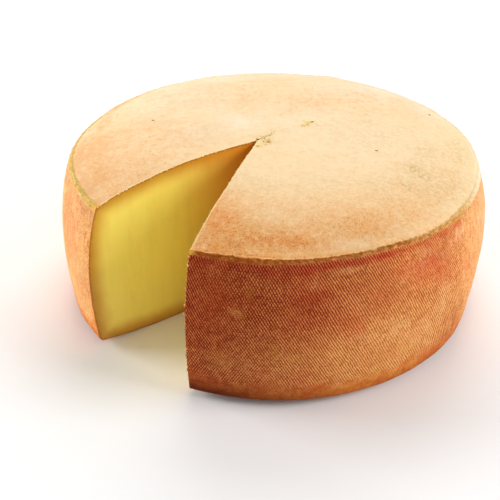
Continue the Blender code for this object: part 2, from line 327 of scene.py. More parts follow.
def side_curve():
    """(place, radius, height) densely down the side, places measured along it from the rim."""
    share = np.linspace(1, FOOT_ROUND / (RIM_HEIGHT - FOOT_LIFT), FINE_STEPS)
    radius = side_radius(share)
    height = FOOT_LIFT + share * (RIM_HEIGHT - FOOT_LIFT)
    place = np.concatenate(((0,), np.cumsum(np.hypot(np.diff(radius), np.diff(height)))))
    return place, radius, height


def side_point(place, curve):
    """Radius and height at a place down the side."""
    return np.interp(place, curve[0], curve[1]), np.interp(place, curve[0], curve[2])


def wheel_rows():
    """Rows from the top's middle to the underside's: (radius, height, place, columns)."""
    rows = []
    full = 2 * PITS_ROUND
    crown_edge = RIM_RADIUS - SEAM_WIDTH
    bands = ((5 * MM, 38 * MM, 3.3 * MM, full // 8), (38 * MM, 80 * MM, 3 * MM, full // 4),
             (80 * MM, crown_edge, 2.7 * MM, full // 2))
    for inner, outer, step, columns in bands:
        count = round((outer - inner) / step)
        for i in range(count):
            radius = inner + (outer - inner) * i / count
            rows.append((radius, crown_height(radius), radius - RIM_RADIUS, columns))

    curve = side_curve()
    for i in range(SEAM_ROWS):
        place = -SEAM_WIDTH + (SEAM_WIDTH + SEAM_DROP) * i / (SEAM_ROWS - 1)
        if place < 0:
            radius = RIM_RADIUS + place
            height = crown_height(radius)
        else:
            radius, height = side_point(place, curve)
        rows.append((radius, height, place, full))
    for i in range(1, WEAVE_ROWS):
        place = SEAM_DROP + ROW_STEP * i
        rows.append((*side_point(place, curve), place, full))
    last = SEAM_DROP + ROW_STEP * (WEAVE_ROWS - 1)
    foot = curve[0][-1]
    for i in (1, 2):
        place = last + (foot - last) * i / 2
        rows.append((*side_point(place, curve), place, full // 2))

    centre_radius = curve[1][-1] - FOOT_ROUND
    under_edge = under_height(centre_radius)
    corner_rise = FOOT_LIFT + FOOT_ROUND - under_edge
    for i in range(1, 6):
        angle = 0.5 * math.pi * i / 5
        radius = centre_radius + FOOT_ROUND * math.cos(angle)
        height = under_edge + corner_rise * (1 - math.sin(angle))
        rows.append((radius, height, foot + FOOT_ROUND * angle, full // 2))
    foot += FOOT_ROUND * 0.5 * math.pi
    bands = ((centre_radius, 130 * MM, 5 * MM, full // 2), (130 * MM, 50 * MM, 7.5 * MM, full // 4),
             (50 * MM, 8 * MM, 8 * MM, full // 8))
    for outer, inner, step, columns in bands:
        count = round((outer - inner) / step)
        for i in range(1, count + 1):
            radius = outer + (inner - outer) * i / count
            rows.append((radius, under_height(radius), foot + centre_radius - radius, columns))
    return rows


def at_marks(marks, azimuth, height):
    """How strongly the nearest of these marks shows, 0 to 1."""
    total = np.zeros(len(azimuth))
    for centre, middle, half_width, half_height, strength in marks:
        aside = np.radians(turned_from(azimuth, centre)) * WIDEST_RADIUS / MM / half_width
        above = ((height - FOOT_LIFT) / MM - middle) / half_height
        total = np.maximum(total, strength * np.exp(-aside ** 2 - above ** 2))
    return total


def at_places(marks, points):
    """How strongly the nearest of these marks on the top shows, 0 to 1."""
    total = np.zeros(len(points))
    for x, y, half_width, half_height, strength in marks:
        away = ((points[:, 0] / MM - x) / half_width) ** 2 + ((points[:, 1] / MM - y) / half_height) ** 2
        total = np.maximum(total, strength * np.exp(-away))
    return total


def ring_faces(first, second, leans):
    """Triangles between two closed rows, (first vertex, count) each. The second is the lower one."""
    cells = min(first[1], second[1])
    rows = []
    for begin, count in (first, second):
        each = count // cells
        rows.append([begin + (each * np.arange(cells) + i) % count for i in range(each + 1)])
    a, b = rows
    if first[1] == second[1]:
        falls = np.stack((a[0], b[0], b[1], a[0], b[1], a[1]), axis=1)
        rises = np.stack((a[0], b[0], a[1], a[1], b[0], b[1]), axis=1)
        return np.where(leans[:, None], falls, rises).reshape(-1, 3)
    if first[1] > second[1]:
        kinds = ((a[0], b[0], a[1]), (a[1], b[0], b[1]), (a[1], b[1], a[2]))
    else:
        kinds = ((a[0], b[0], b[1]), (a[0], b[1], a[1]), (a[1], b[1], b[2]))
    return np.concatenate([np.stack(corners, axis=1) for corners in kinds])


def make_rind():
    """The whole wheel's points, triangles and what its material reads at each point."""
    rows = wheel_rows()
    radius, height, place, columns = (np.array([row[i] for row in rows]) for i in range(4))
    columns = columns.astype(int)
    along = np.stack((np.gradient(radius), np.gradient(height)), axis=1)
    along /= np.linalg.norm(along, axis=1)[:, None]
    outward = np.stack((-along[:, 1], along[:, 0]), axis=1)

    row_of = np.repeat(np.arange(len(rows)), columns)
    starts = np.concatenate(((0,), np.cumsum(columns)))[:-1]
    column = np.arange(len(row_of)) - starts[row_of]
    turn = column / columns[row_of]
    down = place[row_of]
    weave_row = (down - SEAM_DROP) / ROW_STEP
    on_side = (down > 0) & (down < place[np.argmax(height < FOOT_LIFT)])
    angle = np.radians(START_AZIMUTH + 360 * turn)
    points = spun(radius[row_of], angle, height[row_of])

    # the threads wander
    drift = WEAVE_DRIFT * smooth(*DRIFT_GROWS, down)
    drift *= 1 - smooth(*DRIFT_WANES, down)
    curve = side_curve()
    sideways = drift * noise(points, 38, 1)
    slip = drift * noise(points, 31, 2)
    slid = down + slip
    angle = angle + sideways / RIM_RADIUS
    side_band = (down > DRIFT_GROWS[0]) & (down < DRIFT_WANES[1])
    slid_radius, slid_height = side_point(slid, curve)
    at_radius = np.where(side_band, slid_radius, radius[row_of])
    at_height = np.where(side_band, slid_height, height[row_of])
    points = spun(at_radius, angle, at_height)
    azimuth = np.degrees(angle)
    course = azimuth % 360

    # the marks, with few chance ones where the placed ones are
    z = points[:, 2]
    known = smooth(*MARKS_SET_IN, course) * smooth(*MARKS_END, course)
    chance = 1 - CHANCE_HELD_BACK * known
    marks = {}
    for name, (placed, strength, low, high, size, seed) in SIDE_MARKS.items():
        strewn = strength * chance * smooth(low, high, noise(points, size, seed))
        marks[name] = np.maximum(at_marks(placed, azimuth, z), strewn)
    rubbed = marks.pop("rubbed")

    # how pale the side is, partly painted light from PALENESS: paler below, towards the front
    strayed = azimuth + 6 * noise(points, 24, 21) + 2 * noise(points, 7, 22)
    pale = round_wheel(PALENESS, strayed)
    lower = smooth(250, 272, course) * smooth(76 * MM, 34 * MM, z)
    lower *= smooth(324, 286, course)
    pale = pale + 0.37 * lower + 0.15 * noise(points, 30, 14)
    pale = np.clip(pale - 0.12 * at_marks(DULL, azimuth, z), 0, 2)

    # how much of the cloth's imprint is left, and which way its ridges lean
    foot_band = SMOOTH_FOOT + 3 * MM * noise(points, 25, 5)
    foot_band += 6 * MM * bell(azimuth, 251, 6)
    weave = smooth(-6 * MM, 6 * MM, z - FOOT_LIFT - foot_band)
    weave *= smooth(0.3 * SEAM_DROP, 0.8 * SEAM_DROP, down) * (1 - rubbed)
    lean = 0.6 + 0.3 * noise(points, 45, 6)
    lean -= 0.4 * bell(azimuth, 256, 11)
    lean -= 0.35 * smooth(55 * MM, 25 * MM, z) * smooth(280, 262, course)
    lean = np.clip(lean, -1, 1)

    # the top's colours: tan towards the front, partly the rind's own colour and partly painted shade where
    # the back light reaches the front of the top less
    tones = {name: np.where(on_side, 0, at_places(placed, points)) for name, placed in TOP_MARKS.items()}
    tan = smooth(60 * MM, 150 * MM, np.hypot(points[:, 0] - 10 * MM, points[:, 1]))
    tan *= bell(course, 268, 58)
    tan *= 1 - 0.16 * bell(course, 278, 13)
    tan = np.clip(1.25 * tan - 0.25 * smooth(-14 * MM, -7 * MM, down), 0, 1)
    tan = np.clip(tan + 0.25 * tones["blush"] - 0.5 * at_places(BARE, points), 0, 1)

    # the relief
    points = uneven(points)
    normal = spun(outward[row_of, 0], angle, outward[row_of, 1])
    above_table = smooth(0.2 * MM, 3 * MM, points[:, 2])
    relief = 0.25 * MM * noise(points, 14, 7) + 0.12 * MM * noise(points, 6, 8)
    in_weave = (weave_row > -0.01) & (columns[row_of] == 2 * PITS_ROUND)
    parity = (column + np.rint(weave_row).astype(int)) % 2
    relief += np.where(in_weave, WEAVE_DEPTH * weave * np.where(parity == 0, -1, 1), 0)
    seam = np.interp(down, *np.array(SEAM_PROFILE).T * MM, left=0, right=0)
    beads = noise(points, SEAM_BEAD_SIZE, 9) + 0.6 * noise(points, 0.5 * SEAM_BEAD_SIZE, 10)
    in_seam = np.interp(down, *(np.array(SEAM_LUMPS) * (MM, 1)).T, left=0, right=0)
    relief += round_wheel(SEAM_SHOWS, azimuth) * (seam + SEAM_BEAD * in_seam * beads)
    points = points + normal * (relief * above_table)[:, None]

    faces = []
    for i in range(len(rows) - 1):
        picked = slice(starts[i], starts[i] + columns[i])
        pit = parity[picked] == 0
        leans = np.where(lean[picked] > 0.25, True, np.where(lean[picked] < -0.25, False, ~pit))
        if not in_weave[starts[i]]:
            leans = column[picked] % 2 == i % 2
        faces.append(ring_faces((starts[i], columns[i]), (starts[i + 1], columns[i + 1]), leans))
    middles = np.array(((0, 0, float(crown_height(0))), (0, 0, 0)))
    middles[0] = uneven(middles[:1] + (2 * MM, 0, 0))[0] - (2 * MM, 0, 0)
    top, under = len(points), len(points) + 1
    ring = np.arange(columns[0])
    faces.append(np.stack((np.full(len(ring), top), ring, (ring + 1) % len(ring)), axis=1))
    ring = np.arange(columns[-1])
    last = starts[-1]
    faces.append(np.stack((np.full(len(ring), under), last + (ring + 1) % len(ring), last + ring), axis=1))
    points = np.concatenate((points, middles))

    looks = {
        "around": turn * PITS_ROUND,
        "weave_row": 0.5 * weave_row,
        "weave": np.where(on_side, weave, 0),
        "lean": lean,
        "place": down / MM,
        "pale": pale,
        "seam_pale": round_wheel(SEAM_PALENESS, azimuth),
        "seam_fades": round_wheel(SEAM_FADES, azimuth),
        "tan": tan,
        **{name: np.where(on_side, values, 0) for name, values in marks.items()},
        **tones,
    }
    for name, values in looks.items():
        ends = (-RIM_RADIUS / MM, place[-1] / MM) if name == "place" else (0, 0)
        looks[name] = np.concatenate((values, ends))
    return points, np.concatenate(faces), looks


def put_in_scene(name, data):
    item = bpy.data.objects.new(name, data)
    bpy.context.scene.collection.objects.link(item)
    return item


def mesh_object(name, points, faces, material):
    mesh = bpy.data.meshes.new(name)
    faces = faces.tolist() if isinstance(faces, np.ndarray) else faces
    mesh.from_pydata(np.asarray(points, dtype=float).tolist(), [], faces)
    mesh.materials.append(material)
    return put_in_scene(name, mesh)


def cut_line(cut, count):
    """Points along one cut from the apex out, as in the solid."""
    azimuth, bow = cut
    along = towards(azimuth)
    distance = CUTTER_REACH * np.arange(1, count + 1) / count
    offset = bow * np.sin(math.pi * np.minimum(1, distance / RIM_RADIUS))
    return NOTCH_APEX + along * distance[:, None] + crosswise(along) * offset[:, None]


def make_notch_cutter(material):
    """The notch's prism, its faces finely divided and a little rippled."""
    count = round(CUTTER_REACH / CUTTER_CELL)
    right = cut_line(RIGHT_CUT, count)
    left = cut_line(LEFT_CUT, count)
    outline = np.concatenate(((NOTCH_APEX,), right, left[::-1]))
    bottom, low, high, top = CUTTER_HEIGHTS
    levels = np.concatenate(((bottom,), np.arange(low, high, CUTTER_CELL), (top,)))
    points = np.concatenate([np.column_stack((outline, np.full(len(outline), z))) for z in levels])
    after = np.roll(outline, -1, axis=0)
    before = np.roll(outline, 1, axis=0)
    run = (after - before) / np.linalg.norm(after - before, axis=1)[:, None]
    out = np.tile(np.column_stack((run[:, 1], -run[:, 0], np.zeros(len(run)))), (len(levels), 1))
    stretched = points * (1, 1, 0.35)
    ripple = noise(stretched, 9, 11) + 0.5 * noise(points, 4.5, 12)
    ripple += 1.5 * noise(points, 34, 13)
    away = np.hypot(points[:, 0] - NOTCH_APEX[0], points[:, 1] - NOTCH_APEX[1])
    ripple *= smooth(0, 10 * MM, away)
    points = points + out * (CUT_RIPPLE * ripple)[:, None]

    size = len(outline)
    faces = []
    for level in range(len(levels) - 1):
        for i in range(size):
            j = (i + 1) % size
            base = level * size
            faces.append((base + i, base + j, base + size + j, base + size + i))
    faces.append(tuple(range(size))[::-1])
    faces.append(tuple((len(levels) - 1) * size + i for i in range(size)))
    return mesh_object("notch_cutter", points, faces, material)


def make_score_cutter(material):
    """A thin blade along the scored line, its edge down and its width ragged."""
    route = np.array(SCORE_ROUTE) * MM
    count = round((route[-1, 0] - route[0, 0]) / SCORE_STEP)
    distance = np.linspace(route[0, 0], route[-1, 0], count + 1)
    offset = np.interp(distance, route[:, 0], route[:, 1])
    width = np.interp(distance, route[:, 0], route[:, 2])
    draw = np.random.default_rng(SEED + 40)
    width = width * draw.uniform(0.4, 1.25, len(width))
    offset = offset + draw.uniform(-0.22, 0.22, len(width)) * MM
    along = towards(SCORE_AZIMUTH)
    aside = crosswise(along)
    x, y = (NOTCH_APEX + along * distance[:, None] + aside * offset[:, None]).T
    surface = crown_height(np.hypot(x, y))
    half = 0.5 * width * (SCORE_DEPTH + SCORE_CLEAR) / SCORE_DEPTH
    depth = SCORE_DEPTH * np.minimum(1, width / MM)
    out = np.stack((aside[0] * half, aside[1] * half, 0 * half), axis=1)
    middle = np.stack((x, y, surface + SCORE_CLEAR), axis=1)
    points = np.concatenate((np.stack((x, y, surface - depth), axis=1), middle + out, middle - out))
    count = len(distance)
    faces = []
    for i in range(count - 1):
        for low, high in ((0, 1), (1, 2), (2, 0)):
            a, b = low * count + i, high * count + i
            faces += [(a, b, b + 1), (a, b + 1, a + 1)]
    faces += [(0, 2 * count, count), (count - 1, 2 * count - 1, 3 * count - 1)]
    return mesh_object("score_cutter", points, faces, material)


def outward_faces(piece):
    shape = bmesh.new()
    shape.from_mesh(piece.data)
    bmesh.ops.recalc_face_normals(shape, faces=shape.faces)
    shape.to_mesh(piece.data)
    shape.free()


def cut_away(piece, cutters):
    """Takes the cutters out of the piece's mesh, and out of the scene."""
    for cutter in cutters:
        boolean = piece.modifiers.new(cutter.name, "BOOLEAN")
        boolean.operation = "DIFFERENCE"
        boolean.solver = "MANIFOLD"
        boolean.material_mode = "TRANSFER"
        boolean.object = cutter
    bpy.context.view_layer.update()
    graph = bpy.context.evaluated_depsgraph_get()
    mesh = bpy.data.meshes.new_from_object(piece.evaluated_get(graph))
    piece.modifiers.clear()
    piece.data = mesh
    for cutter in cutters:
        bpy.data.objects.remove(cutter)


def mesh_points(mesh):
    flat = np.empty(3 * len(mesh.vertices), dtype=np.float32)
    mesh.vertices.foreach_get("co", flat)
    return flat.reshape(-1, 3).astype(float)


def read_look(mesh, name):
    values = np.empty(len(mesh.vertices), dtype=np.float32)
    mesh.attributes[name].data.foreach_get("value", values)
    return values


def put_looks(mesh, looks):
    for name, values in looks.items():
        layer = mesh.attributes.get(name) or mesh.attributes.new(name, "FLOAT", "POINT")
        layer.data.foreach_set("value", np.asarray(values, dtype=np.float32))


def finish_cut(piece, uncut, looks):
    """Gives the points that the cuts made the looks of the rind they lie on, and paste its depth."""
    mesh = piece.data
    points, faces = uncut
    tree = BVHTree.FromPolygons(points.tolist(), faces.tolist())
    place = mesh_points(mesh)
    now = {name: read_look(mesh, name) for name in looks}
    depth = np.zeros(len(mesh.vertices))
    for i in np.flatnonzero(read_look(mesh, "kept") < 0.5):
        nearest, _, face, distance = tree.find_nearest(Vector(place[i]))
        corners = faces[face]
        weights = poly_3d_calc([Vector(points[c]) for c in corners], nearest)
        depth[i] = distance / MM
        if distance < ON_RIND:
            for name, values in looks.items():
                now[name][i] = sum(w * values[c] for w, c in zip(weights, corners))
    now["depth"] = depth
    now["edge"] = edge_distance(place) / MM
    now["inward"] = np.hypot(*(place[:, :2] - NOTCH_APEX).T) / MM
    put_looks(mesh, now)
    mesh.attributes.remove(mesh.attributes["kept"])


def edge_distance(points):
    """How far each point is from the nearer cut face."""
    away = np.full(len(points), 1.0)
    for azimuth, bow in (LEFT_CUT, RIGHT_CUT):
        along = towards(azimuth)
        flat = points[:, :2] - NOTCH_APEX
        distance = flat @ along
        offset = bow * np.sin(math.pi * np.clip(distance / RIM_RADIUS, 0, 1))
        across = np.abs(flat @ crosswise(along) - offset)
        away = np.minimum(away, np.where(distance > 0, across, np.hypot(distance, across)))
    return away


def mark_sharp(mesh):
    """Smooth shading, with hard edges where rind and paste meet and at the notch's apex."""
    mesh.shade_smooth()
    shape = bmesh.new()
    shape.from_mesh(mesh)
    for edge in shape.edges:
        linked = edge.link_faces
        if len(linked) != 2:
            continue
        apart = linked[0].material_index != linked[1].material_index
        steep = linked[0].material_index == 1 and edge.calc_face_angle(0) > math.radians(SHARP_FROM)
        edge.smooth = not (apart or steep)
    shape.to_mesh(mesh)
    shape.free()


def crumb_shape(draw, size):
    """One irregular lump's points about its middle, and its triangles."""
    shape = bmesh.new()
    bmesh.ops.create_icosphere(shape, subdivisions=2, radius=0.5)
    points = np.array([vert.co for vert in shape.verts])
    faces = np.array([[vert.index for vert in face.verts] for face in shape.faces])
    shape.free()
    stretch = draw.uniform((0.6, 0.45, 0.35), (1.3, 0.9, 0.7))
    lumpy = 1 + 0.5 * noise(points + draw.uniform(-50, 50, 3), 400, 17)
    turn = draw.uniform(0, math.tau)
    x, y, z = (points * lumpy[:, None] * stretch * size).T
    turned_x = x * math.cos(turn) - y * math.sin(turn)
    turned_y = x * math.sin(turn) + y * math.cos(turn)
    return np.column_stack((turned_x, turned_y, z)), faces


def make_lumps(name, places, material, draw):
    """One mesh of many small lumps, each (middle, size)."""
    points, faces = [], []
    for middle, size in places:
        shape, corners = crumb_shape(draw, size)
        faces.append(corners + sum(len(part) for part in points))
        points.append(shape + middle)
    return mesh_object(name, np.concatenate(points), np.concatenate(faces), material)


def drop_on(tree, x, y):
    """The height of the wheel's top at this place, or None where it is cut away."""
    hit = tree.ray_cast(Vector((x, y, ABOVE_WHEEL)), Vector((0, 0, -1)))[0]
    return hit.z if hit and hit.z > 0.5 * RIM_HEIGHT else None


def crumb_places(tree, draw):
    """Where the crumbs lie: along the scored line and the cuts' edges."""
    places = []
    along = towards(SCORE_AZIMUTH)
    aside = crosswise(along)
    for beyond, sideways, length, width, count, largest in SCORE_CRUMBS:
        for _ in range(count):
            distance, offset = draw.normal((beyond, sideways), (0.6 * length, 0.6 * width)) * MM
            spot = NOTCH_APEX + along * distance + aside * offset
            size = largest * MM * draw.uniform(0.3, 1)
            height = drop_on(tree, *spot)
            if height is not None:
                height = max(height, crown_height(np.hypot(*spot)))
                places.append(((*spot, height - 0.05 * size), size))
    for cut, count, largest in EDGE_CRUMBS:
        line = cut_line(cut, FINE_STEPS)
        line = line[np.hypot(*line.T) < RIM_RADIUS - MM]
        away = -crosswise(towards(cut[0]))
        for _ in range(count):
            spot = line[draw.integers(len(line))]
            size = draw.uniform(0.3, largest) * MM
            height = drop_on(tree, *(spot + away * 0.6 * MM))
            if height is None:
                height = drop_on(tree, *(spot - away * 0.6 * MM))
            if height is not None:
                spot = spot + away * draw.uniform(-0.1, 0.35) * MM
                places.append(((*spot, height - 0.2 * size), size))
    return places


def burr_places(draw):
    """Where the rind's burrs stand out along the corner of the right-hand cut and the side."""
    places = []
    corner = cut_line(RIGHT_CUT, FINE_STEPS)
    heights = np.concatenate((draw.uniform(14, 104, CORNER_BURRS), CORNER_HEIGHTS)) * MM
    for i, height in enumerate(heights):
        share = (height - FOOT_LIFT) / (RIM_HEIGHT - FOOT_LIFT)
        spot = corner[np.argmin(np.abs(np.hypot(*corner.T) - side_radius(share)))]
        size = draw.uniform(0.6, 1.3) * MM if i < CORNER_BURRS else draw.uniform(1.6, 2.4) * MM
        places.append(((*(spot + draw.uniform(-0.2, 0.2, 2) * MM), height), size))
    return places


class Looks:
    """Builds a material's nodes: each call adds one and gives back its output."""

    def __init__(self, name):
        self.material = bpy.data.materials.new(name)
        self.material.use_nodes = True
        self.tree = self.material.node_tree
        self.shader = self.tree.nodes["Principled BSDF"]

    def put(self, value, socket):
        if isinstance(value, bpy.types.NodeSocket):
            self.tree.links.new(value, socket)
        elif isinstance(value, tuple) and len(value) == 3 and socket.type == "RGBA":
            socket.default_value = (*value, 1)
        else:
            socket.default_value = value

    def surface(self, **values):
        for name, value in values.items():
            self.put(value, self.shader.inputs[name.replace("_", " ")])

    def node(self, kind, inputs, output=0, **settings):
        """One node with these inputs, listed or {name or number: value}."""
        node = self.tree.nodes.new(kind)
        for name, value in settings.items():
            setattr(node, name, value)
        for name, value in inputs.items() if isinstance(inputs, dict) else enumerate(inputs):
            self.put(value, node.inputs[name])
        return node.outputs[output]

    def attribute(self, name):
        return self.node("ShaderNodeAttribute", (), "Fac", attribute_name=name)

    def maths(self, operation, *values):
        return self.node("ShaderNodeMath", values, operation=operation)

    def add(self, *values):
        return reduce(lambda total, value: self.maths("ADD", total, value), values)

    def times(self, *values):
        return reduce(lambda total, value: self.maths("MULTIPLY", total, value), values)

    def spread(self, value, low, high, to_low=0, to_high=1, smooth=True):
        kind = "SMOOTHSTEP" if smooth else "LINEAR"
        return self.node("ShaderNodeMapRange", (value, low, high, to_low, to_high), interpolation_type=kind)

    def swing(self, value, reach):
        """Cloudy noise, brought to -reach to reach."""
        return self.spread(value, 0.3, 0.7, -reach, reach, smooth=False)

    def mix(self, share, first, second, blend="MIX"):
        inputs = {"Factor": share, 6: first, 7: second}
        return self.node("ShaderNodeMix", inputs, 2, data_type="RGBA", blend_type=blend)

    def tint(self, share, colour, tint):
        return self.mix(share, colour, tint, "MULTIPLY")

    def coordinates(self, scale):
        here = self.node("ShaderNodeTexCoord", (), "Object")
        if scale == (1, 1, 1):
            return here
        return self.node("ShaderNodeVectorMath", (here, scale), operation="MULTIPLY")

    def noise(self, size, detail=2, roughness=0.5, stretch=(1, 1, 1), at=None):
        """Cloudy noise, 0 to 1, whose blotches are about this size in mm."""
        inputs = {"Vector": at or self.coordinates(stretch), "Scale": 1 / (size * MM)}
        inputs.update(Detail=detail, Roughness=roughness)
        return self.node("ShaderNodeTexNoise", inputs, "Fac", noise_dimensions="3D")

    def vector(self, *parts):
        return self.node("ShaderNodeCombineXYZ", parts)

    def bump(self, height, distance, **under):
        """The normal of this relief, laid over another bump's if that is given as Normal."""
        inputs = dict(Height=height, Distance=distance, Strength=1, **under)
        return self.node("ShaderNodeBump", inputs, "Normal")


# Colours, linear. TONES are pairs, of which a share of the second is blended into the first
TOP_CREAM = (0.92, 0.70, 0.42)
TOP_TAN = (0.85, 0.42, 0.135)
TOP_BLUSH = (0.80, 0.30, 0.09)
TOP_BLEACH = (0.93, 0.77, 0.56)
TOP_PEACH = (0.90, 0.58, 0.31)
TOP_EMBER = (0.84, 0.45, 0.20)
TOP_OLIVE = (0.62, 0.44, 0.17)
TOP_OILY = (0.80, 0.62, 0.24)
TOP_SPECKLE = (0.77, 0.50, 0.33)
TOP_FIBRES = (0.90, 0.84, 0.74)
TOP_GRAIN = (0.80, 0.64, 0.45)
TOP_RIM_LIGHT = (1.15, 1.12, 1.06)
TOP_RING = (0.80, 0.44, 0.20)
TOP_LIP = (0.96, 0.72, 0.34)

# The DARK and PALE sets, and the other pairs blended by the side's paleness, are partly shaded and lit
# copies of the rind: painted shade at the front-left, painted light towards the right
DARK_WEAVE_TONES = ((0.28, 0.030, 0.007), (0.79, 0.235, 0.065))
PALE_WEAVE_TONES = ((0.61, 0.155, 0.028), (1.00, 0.55, 0.185))
DARK_WORN_TONES = ((0.36, 0.055, 0.011), (0.54, 0.125, 0.026))
PALE_WORN_TONES = ((0.70, 0.185, 0.048), (0.96, 0.49, 0.175))
SIDE_EDGE_LIGHT = (0.78, 0.48, 0.22)
SCUFF_DARK = (0.72, 0.28, 0.085)
SCUFF_PALE = (0.98, 0.60, 0.26)
OCHRE_TONES = ((0.50, 0.17, 0.018), (0.79, 0.37, 0.065))
RED_TONES = ((0.74, 0.30, 0.46), (0.91, 0.45, 0.31))
RED_TINT = (0.92, 0.46, 0.50)
HOLLOW_TINT = (0.85, 0.68, 0.60)
BAND_TINT = (0.91, 0.60, 0.66)
GRAIN_TINT = (0.78, 0.66, 0.55)
CREASE_PALE = (0.90, 0.57, 0.31)
CREASE_RED = (0.82, 0.27, 0.11)
FOOT_TONES = ((0.25, 0.049, 0.010), (0.77, 0.27, 0.040))
FOOT_PATCHES = (0.72, 0.55, 0.45)
FOOT_GRAIN = (0.80, 0.66, 0.55)
FOOT_SHADE_TONES = ((0.52, 0.40, 0.28), (0.85, 0.72, 0.60))
UNDER_TAN = (0.62, 0.36, 0.16)

SEAM_TONES = ((0.48, 0.097, 0.016), (0.78, 0.50, 0.19))
SEAM_YELLOW = (0.71, 0.48, 0.13)
LINE_TONES = ((0.32, 0.085, 0.006), (0.62, 0.29, 0.035))
SEAM_OUTER = (0.93, 0.76, 0.50)
BEAD_GAPS = (0.78, 0.64, 0.38)
BEAD_TONES = ((0.78, 0.28, 0.06), (0.93, 0.74, 0.38))
LUMP_GAPS = (0.72, 0.58, 0.42)
ROPE_SHADE = (0.60, 0.31, 0.09)
SEAM_GRAIN = (0.78, 0.66, 0.46)
SEAM_CORNER = (0.90, 0.43, 0.08)

PASTE_PALE = (0.99, 0.80, 0.16)
PASTE_OCHRE = (0.60, 0.275, 0.016)
PASTE_APEX_SHADE = (0.84, 0.33, 0.024)
PASTE_RIND = (0.46, 0.18, 0.018)
CRUMB_TONES = ((0.97, 0.80, 0.38), (0.78, 0.56, 0.20))
BURR_TONES = ((0.86, 0.42, 0.15), (0.62, 0.21, 0.05))
CRUMB_GRAIN = (0.78, 0.55, 0.30)
SPECK_TONES = ((0.10, 0.045, 0.012), (0.30, 0.14, 0.04))
FLOOR_WHITE = (0.96, 0.96, 0.96)


